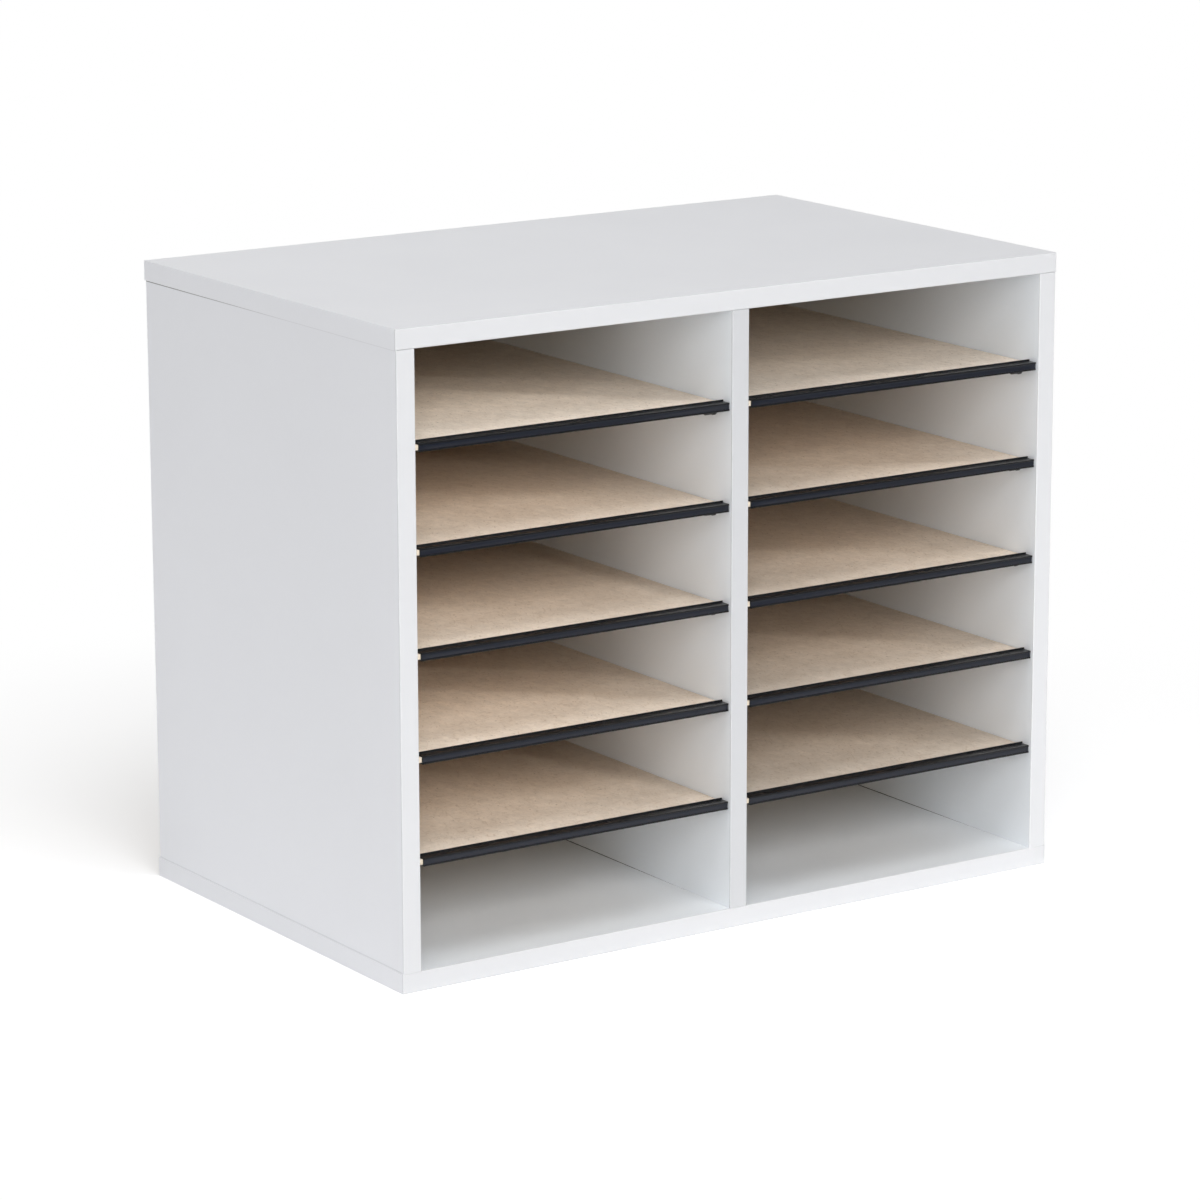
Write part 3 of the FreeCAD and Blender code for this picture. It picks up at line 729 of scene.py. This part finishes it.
def slab(shape, low, high, thin, step, wander, edge_round, corner, seed):
    """Make a thin sawn sheet: rounded arrises, and outer edges that wander a little inwards.

    thin is the axis through the sheet, and step the distance between points of its outline.
    """
    dice = random.Random(seed)
    flat = [axis for axis in range(3) if axis != thin]
    wide, long = [high[axis] - low[axis] for axis in flat]
    bare = rounded([(x, y, corner) for x, y in ((0, 0), (wide, 0), (wide, long), (0, long))])
    outline = []
    for index, start in enumerate(bare):
        end = bare[(index + 1) % len(bare)]
        count = max(1, round((end - start).length / step))
        outline += [start.lerp(end, part / count) for part in range(count)]
    middle = Vector((wide, long)) / 2
    shift = 0.0
    wandering = []
    for point in outline:
        shift = min(1.0, max(0.0, shift + dice.uniform(-0.35, 0.35)))
        wandering.append(point.lerp(inset(point, middle, wander), shift))
    rings = []
    depth = high[thin] - low[thin]
    arris = [(0, edge_round), (edge_round * 0.35, edge_round * 0.3), (edge_round, 0)]
    for height, distance in arris + [(depth - up, back) for up, back in reversed(arris)]:
        ring = []
        for point in wandering:
            moved = inset(point, middle, distance)
            place = Vector((0, 0, 0))
            place[flat[0]] = low[flat[0]] + moved.x
            place[flat[1]] = low[flat[1]] + moved.y
            place[thin] = low[thin] + height
            ring.append(shape.verts.new(place))
        rings.append(ring)
    bridge(shape, rings)


def holder_outline(settings, depth, top, full_top):
    """The label holder's section, as depth and height from its front lower corner."""
    lip, lip_wall = settings.lip, settings.lip_wall
    groove_back = lip_wall + settings.groove
    inside = groove_back + settings.web
    fine, soft, round_edge = 0.12 * MM, 0.22 * MM, 0.3 * MM
    rib_front = depth - settings.rib
    return rounded([
        (0, 0, soft), (depth, 0, round_edge), (depth, settings.wall, fine),
        (inside, settings.wall, fine), (inside, top - settings.wall, fine),
        (depth, top - settings.wall, fine), (depth, full_top, round_edge),
        (rib_front, full_top, round_edge), (rib_front, top, fine),
        (0, top, soft), (0, top - lip, fine), (lip_wall, top - lip, fine),
        (lip_wall, top - settings.margin, 0.0), (groove_back, top - settings.margin, fine),
        (groove_back, settings.margin, fine), (lip_wall, settings.margin, 0.0),
        (lip_wall, lip, fine), (0, lip, fine),
    ])


def pin_rings(settings):
    """The sections of one shelf pin, from the tip in the board to the free end of its finger."""
    peg, collar, finger = (settings.peg_diameter / 2, settings.collar_diameter / 2,
                           settings.finger_diameter / 2)
    seat, drop = settings.seat_width / 2, settings.drop

    def seated(shrink):
        def radius(angle):
            up, out = math.sin(angle), abs(math.cos(angle))
            if up <= 0:
                return finger - shrink
            block = min((seat - shrink) / max(out, TINY), drop / up)
            return max(finger - shrink, block)
        return radius

    def flanged(shrink):
        return lambda angle: max(collar - shrink, seated(0.0)(angle))

    depth, thick, end = settings.peg_depth, settings.collar_thickness, settings.finger_length
    return [
        (-depth, peg * 0.72), (-depth + 0.3 * MM, peg * 0.9), (-depth + 0.8 * MM, peg),
        (0.0, peg), (0.0, flanged(0.0)), (thick - 0.35 * MM, flanged(0.0)),
        (thick - 0.1 * MM, flanged(0.12 * MM)), (thick, flanged(0.35 * MM)),
        (thick, seated(0.0)), (end - 0.45 * MM, seated(0.0)),
        (end - 0.12 * MM, seated(0.13 * MM)), (end, seated(0.45 * MM)),
    ]


def screw_thread(settings, tall, distance):
    """The radius of a screw's shank for each angle, at a distance from its head."""
    shank, start, full, point = settings.screw_shank / 2, 6 * MM, 8 * MM, 4 * MM
    taper = min(1.0, (tall - distance) / point)
    crest = settings.thread_depth * min(1.0, max(0.0, (distance - start) / (full - start)))

    def radius(angle):
        turn = (distance / settings.thread_pitch - angle / (2 * math.pi)) % 1.0
        ridge = max(0.0, 1.0 - abs(turn - 0.5) * 4.0)
        return max(0.25 * MM, (shank - crest * (1.0 - ridge)) * taper)
    return radius


def screw_rings(settings, tall, arm, half_width):
    """The sections of one screw, from the floor of its recess to its point."""
    head, rim, neck = settings.screw_head / 2, 0.5 * MM, 2.9 * MM
    rings = [(settings.recess_depth, cross_recess(arm * 0.45, half_width * 0.5)),
             (0.0, cross_recess(arm, half_width)), (0.0, head - 0.25 * MM),
             (0.08 * MM, head - 0.06 * MM), (0.25 * MM, head), (rim, head),
             (neck, settings.screw_shank / 2)]
    start, step = neck + 0.3 * MM, settings.thread_pitch / STEPS_PER_TURN
    for index in range(int((tall - start) / step)):
        distance = start + step * index
        rings.append((distance, screw_thread(settings, tall, distance)))
    return rings + [(tall, 0.1 * MM)]


def nail_rings(settings, tall):
    """The sections of one nail, from the middle of its head to its point."""
    head, shank = settings.nail_head / 2, settings.nail_shank / 2
    rim, point = 0.6 * MM, 2 * MM
    return [(0.0, head * 0.35), (0.05 * MM, head * 0.75), (0.22 * MM, head * 0.97),
            (0.42 * MM, head), (rim, head * 0.93), (rim, shank), (tall - point, shank),
            (tall, 0.15 * MM)]


def cross_recess(arm, half_width):
    """The radius of a cross-shaped hole for each angle."""
    def radius(angle):
        out, up = max(abs(math.cos(angle)), TINY), max(abs(math.sin(angle)), TINY)
        return max(min(arm / out, half_width / up), min(arm / up, half_width / out))
    return radius


# Operators

class BuildOperator(Operator):
    """Shared by all the steps: each builds from its own group of settings."""

    bl_options = {"REGISTER", "UNDO"}

    def execute(self, context):
        self.build(getattr(context.scene.organizer, self.group))
        return {"FINISHED"}


class DressBoards(BuildOperator):
    """Give the five boards of the cabinet their laminate, raw edges and painted joint shadows"""

    bl_idname = "organizer.dress_boards"
    bl_label = "Laminated boards"
    group = "boards"

    def build(self, settings):
        seam_shadows = upright_seam_shadows(settings)
        side = laminate("side_laminate", settings, "X",
                        lambda f: abs(abs(f.x) - SIDE_MIDDLE), seam_shadows)
        divider = laminate("divider_laminate", settings, "X", lambda f: abs(f.x), seam_shadows)
        top_middle = CABINET_HEIGHT - BOARD_THICKNESS / 2
        top = laminate("top_laminate", settings, "Z", lambda f: abs(f.z - top_middle))
        bottom = laminate("bottom_laminate", settings, "Z",
                          lambda f: abs(f.z - BOARD_THICKNESS / 2), floor_seam_shadows(settings))
        boards = {"left_side_panel": side, "right_side_panel": side, "centre_divider": divider,
                  "top_panel": top, "bottom_panel": bottom}
        for node, material in boards.items():
            paint_node(node, material)


class DressBands(BuildOperator):
    """Give the front and end bands their satin white, with painted light across them"""

    bl_idname = "organizer.dress_bands"
    bl_label = "Edge bands"
    group = "boards"

    def build(self, settings):
        outer = edge_band("outer_band", settings.band, front_painted_light)
        divider = edge_band("divider_band", settings.divider_band, front_painted_light)
        end = edge_band("end_band", settings.laminate, end_painted_light)
        for node in frame["nodes"]:
            if node == "divider_front_band":
                paint_node(node, divider)
            elif node.endswith("end_band"):
                paint_node(node, end)
            elif node.endswith("front_band"):
                paint_node(node, outer)


class DressBack(BuildOperator):
    """Give the back panel its pressed and screen-printed faces"""

    bl_idname = "organizer.dress_back"
    bl_label = "Back panel"
    group = "shelves"

    def build(self, settings):
        paint_node("back_panel", back_board("back_fibreboard", settings))


class BuildShelves(BuildOperator):
    """Make the ten sawn fibreboard shelves"""

    bl_idname = "organizer.build_shelves"
    bl_label = "Shelves"
    group = "shelves"

    def build(self, settings):
        material = fibreboard("shelf_fibreboard", settings)
        dice = random.Random(settings.tone_seed)
        for seed, (node, low, high, shape) in enumerate(each_shelf("shelf")):
            slab(shape, low, high, thin=2, step=5 * MM, wander=settings.saw_wander,
                 edge_round=settings.edge_round, corner=0.6 * MM, seed=seed)
            piece = new_piece("sawn_" + node, shape, material, node)
            tone = dice.uniform(1.0 - settings.tone_spread, 1.0 + settings.tone_spread)
            piece.color = (tone, tone, tone, 1.0)


class BuildHolders(BuildOperator):
    """Make the label holder on each shelf's front edge"""

    bl_idname = "organizer.build_holders"
    bl_label = "Label holders"
    group = "holders"

    def build(self, settings):
        material = extruded_plastic("black_extrusion", settings.moulding)
        burr = settings.burr
        for node, low, high, shape in each_shelf("label_holder"):
            full_top = high.z - low.z
            outline = holder_outline(settings, high.y - low.y, full_top - settings.rib, full_top)
            rings = [[shape.verts.new((across, low.y + y, low.z + z)) for y, z in outline]
                     for across in (low.x, low.x + burr, high.x - burr, high.x)]
            self.shrink(rings[0], burr / 2)
            self.shrink(rings[-1], burr / 2)
            bridge(shape, rings)
            shape.normal_update()
            ends = [face for face in shape.faces if len(face.verts) > 4]
            bmesh.ops.triangulate(shape, faces=ends)
            new_piece("extruded_" + node, shape, material, node, 50.0)

    def shrink(self, ring, distance):
        """Draw a ring inwards along its own mitres, to ease the sawn end."""
        points = [vertex.co.copy() for vertex in ring]
        for index, vertex in enumerate(ring):
            before = (points[index] - points[index - 1]).normalized()
            after = (points[(index + 1) % len(points)] - points[index]).normalized()
            mean = before + after
            if mean.length > TINY:
                mean.normalize()
                vertex.co = points[index] + Vector((0, -mean.z, mean.y)) * distance


class BuildLabels(BuildOperator):
    """Make the blank strip in each label holder"""

    bl_idname = "organizer.build_labels"
    bl_label = "Label strips"
    group = "holders"

    def build(self, settings):
        material = label_card("dark_card", settings.label)
        for seed, (node, low, high, shape) in enumerate(each_shelf("label_strip")):
            slab(shape, low, high, thin=1, step=8 * MM, wander=0.04 * MM,
                 edge_round=0.06 * MM, corner=0.12 * MM, seed=LABEL_SEED + seed)
            new_piece("card_" + node, shape, material, node)


class BuildPins(BuildOperator):
    """Make the four moulded pins under each shelf"""

    bl_idname = "organizer.build_pins"
    bl_label = "Shelf pins"
    group = "hardware"

    def build(self, settings):
        material = moulded_plastic("black_pin_plastic", settings.pin)
        corner = math.atan2(settings.drop, settings.seat_width / 2)
        angles = round_angles(PIN_SIDES, corner, math.pi - corner)
        reach, depth = settings.collar_diameter / 2, settings.peg_depth
        for node, low, high, shape in each_shelf("shelf_pins"):
            for wall, hand in ((low.x + depth, 1), (high.x - depth, -1)):
                for y in (low.y + reach, high.y - reach):
                    origin = Vector((wall, y, high.z - settings.drop))
                    wrap(shape, origin, Vector((hand, 0, 0)), UP, pin_rings(settings), angles)
            new_piece("moulded_" + node, shape, material, node, 40.0)


class BuildDowels(BuildOperator):
    """Make the fluted dowels in the ends of the upright boards"""

    bl_idname = "organizer.build_dowels"
    bl_label = "Dowels"
    group = "hardware"

    def build(self, settings):
        material = dowel_wood("beech_dowel", settings.dowel)
        angles = round_angles(settings.flutes * SIDES_PER_FLUTE)
        radius, bevel = settings.dowel_diameter / 2, settings.dowel_bevel

        def fluted(scale):
            return lambda angle: radius * scale * (
                FLUTE_MIDDLE - FLUTE_DEPTH * math.cos(angle * settings.flutes))

        for node, rows in DOWEL_ROWS.items():
            low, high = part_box(node)
            tall = high.z - low.z
            profile = [(0, fluted(BEVEL_END)), (bevel, fluted(FLUTE_MIDDLE)),
                       (tall - bevel, fluted(FLUTE_MIDDLE)), (tall, fluted(BEVEL_END))]
            shape = bmesh.new()
            for x in (low.x + radius, 0.0, high.x - radius):
                for row in range(rows):
                    y = low.y + radius + (high.y - low.y - 2 * radius) * row / max(rows - 1, 1)
                    wrap(shape, Vector((x, y, low.z)), UP, REARWARD, profile, angles)
            new_piece("fluted_" + node, shape, material, node)


class BuildScrews(BuildOperator):
    """Make the countersunk screws under the bottom panel"""

    bl_idname = "organizer.build_screws"
    bl_label = "Screws"
    group = "hardware"

    def build(self, settings):
        material = plated_steel("screw_steel", settings.steel)
        low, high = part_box("bottom_screws")
        head = settings.screw_head / 2
        arm, half_width = settings.recess_length / 2, settings.recess_width / 2
        corner = math.atan2(half_width, arm)
        quarter = (corner, math.pi / 4, math.pi / 2 - corner)
        edges = [turn * math.pi / 2 + part for turn in range(4) for part in quarter]
        angles = round_angles(SCREW_SIDES, *edges)
        profile = screw_rings(settings, high.z - low.z, arm, half_width)
        shape = bmesh.new()
        for x in (low.x + head, 0.0, high.x - head):
            for y in (low.y + head, high.y - head):
                wrap(shape, Vector((x, y, low.z)), UP, REARWARD, profile, angles)
        new_piece("threaded_bottom_screws", shape, material, "bottom_screws")


class BuildNails(BuildOperator):
    """Make the nails that hold the back panel"""

    bl_idname = "organizer.build_nails"
    bl_label = "Nails"
    group = "hardware"

    def build(self, settings):
        material = plated_steel("nail_steel", settings.steel)
        low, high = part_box("back_nails")
        profile = nail_rings(settings, high.y - low.y)
        shape = bmesh.new()
        for x, z in self.places():
            wrap(shape, Vector((x, high.y, z)), -REARWARD, UP, profile, round_angles(NAIL_SIDES))
        new_piece("domed_back_nails", shape, material, "back_nails")

    def places(self):
        """Find each nail's axis as the middle of one cluster of the CAD node's vertices."""
        clusters = []
        for vertex in frame["nodes"]["back_nails"].data.vertices:
            spot = Vector((vertex.co.x, vertex.co.z))
            for cluster in clusters:
                if (cluster[0] - spot).length < NAIL_APART:
                    cluster.append(spot)
                    break
            else:
                clusters.append([spot])
        return [[(min(along) + max(along)) / 2 for along in zip(*cluster)] for cluster in clusters]


class BuildStudio(BuildOperator):
    """Make the pale floor, the soft lamps and the camera"""

    bl_idname = "organizer.build_studio"
    bl_label = "Studio"
    group = "studio"

    def build(self, settings):
        self.floor(settings)
        self.surround(settings)
        for name, place in LAMPS.items():
            self.lamp(name, getattr(settings, name), *place)
        self.camera(settings)
        bpy.context.scene.view_settings.view_transform = "Standard"

    def floor(self, settings):
        finish = Finish("pale_floor")
        paper = finish.noise(2 * MM, 3.0)
        paint = finish.brightness(settings.floor, 0.99 + paper * 0.02)
        matt = finish.add("BsdfDiffuse", {}, {"Color": paint})
        glow, white, dim = [finish.add("Emission", {}, {"Color": WHITE, "Strength": strength})
                            for strength in (FLOOR_GLOW, 1.0, FRONT_DIM)]
        near = finish.add("AddShader", {}, {0: matt, 1: glow})
        away = finish.add("VectorMath", {"operation": "LENGTH"}, {0: finish.point}, "Value")
        seen = finish.blend(finish.smooth(away, FADE_FROM, FADE_TO), near, white)
        mirrored = finish.blend(finish.smooth(finish.y, DIM_FROM, DIM_TO), near, dim)
        shader = finish.blend(finish.light_path("Is Glossy Ray"), matt, mirrored)
        shader = finish.blend(finish.light_path("Is Camera Ray"), shader, seen)
        finish.close(shader, "Material")
        mesh = bpy.data.meshes.new("floor")
        corners = [(x * FLOOR_HALF, y * FLOOR_HALF, 0)
                   for x, y in ((-1, -1), (1, -1), (1, 1), (-1, 1))]
        mesh.from_pydata(corners, [], [(0, 1, 2, 3)])
        mesh.materials.append(finish.material)
        floor = new_object("floor", mesh)
        floor.location.z = -FLOOR_GAP

    def surround(self, settings):
        world = bpy.data.worlds.new("pale_surround")
        world.use_nodes = True
        sky = Nodes(world.node_tree)
        lit, white = [sky.add("Background", {}, {"Color": WHITE, "Strength": strength})
                      for strength in (settings.surround, 1.0)]
        seen = sky.most(sky.light_path("Is Camera Ray"), sky.light_path("Is Glossy Ray"))
        sky.close(sky.blend(seen, lit, white), "World")
        bpy.context.scene.world = world

    def outward(self, azimuth, elevation):
        """The direction from the organizer to a viewer or a lamp."""
        turn, rise = math.radians(azimuth), math.radians(elevation)
        level = math.cos(rise)
        return Vector((math.sin(turn) * level, -math.cos(turn) * level, math.sin(rise)))

    def lamp(self, name, power, azimuth, elevation, size, mirrored):
        lamp = bpy.data.lights.new(name, "AREA")
        lamp.shape = "RECTANGLE"
        lamp.size, lamp.size_y = size
        lamp.energy = power
        item = new_object(name, lamp)
        away = self.outward(azimuth, elevation)
        item.location = Vector((0, 0, CABINET_HEIGHT / 2)) + away * LAMP_DISTANCE
        item.rotation_mode = "QUATERNION"
        item.rotation_quaternion = (-away).to_track_quat("-Z", "Y")
        item.visible_camera = False
        item.visible_glossy = mirrored

    def camera(self, settings):
        data = bpy.data.cameras.new("camera")
        data.sensor_width = SENSOR_WIDTH
        data.lens = settings.lens
        data.clip_start, data.clip_end = CLIP
        camera = new_object("camera", data)
        facing = (-self.outward(CAMERA_AZIMUTH, CAMERA_ELEVATION)).to_track_quat("-Z", "Y")
        camera.rotation_mode = "QUATERNION"
        camera.rotation_quaternion = facing @ Quaternion(UP, math.radians(CAMERA_ROLL))
        camera.location = CAMERA_PLACE
        bpy.context.scene.camera = camera


# The panel, and the run

STEPS = (DressBoards, DressBands, DressBack, BuildShelves, BuildHolders, BuildLabels, BuildPins,
         BuildDowels, BuildScrews, BuildNails, BuildStudio)


class OrganizerPanel(Panel):
    """Lists the organizer's settings and steps"""

    bl_label = "Literature organizer"
    bl_idname = "VIEW3D_PT_literature_organizer"
    bl_space_type = "VIEW_3D"
    bl_region_type = "UI"
    bl_category = "Organizer"

    def draw(self, context):
        settings = context.scene.organizer
        for group in ("boards", "shelves", "holders", "hardware", "studio"):
            box = self.layout.box()
            box.label(text=group.capitalize())
            values = getattr(settings, group)
            for name in values.__annotations__:
                box.prop(values, name, text=name.replace("_", " ").capitalize())
        for step in STEPS:
            self.layout.operator(step.bl_idname)


CLASSES = (BoardSettings, ShelfSettings, HolderSettings, HardwareSettings, StudioSettings,
           OrganizerSettings, *STEPS, OrganizerPanel)


def register():
    for item in CLASSES:
        bpy.utils.register_class(item)
    bpy.types.Scene.organizer = PointerProperty(type=OrganizerSettings)


def unregister():
    del bpy.types.Scene.organizer
    for item in reversed(CLASSES):
        bpy.utils.unregister_class(item)


def main():
    register()
    for step in STEPS:
        group, name = step.bl_idname.split(".")
        getattr(getattr(bpy.ops, group), name)()


if __name__ == "__main__":
    main()
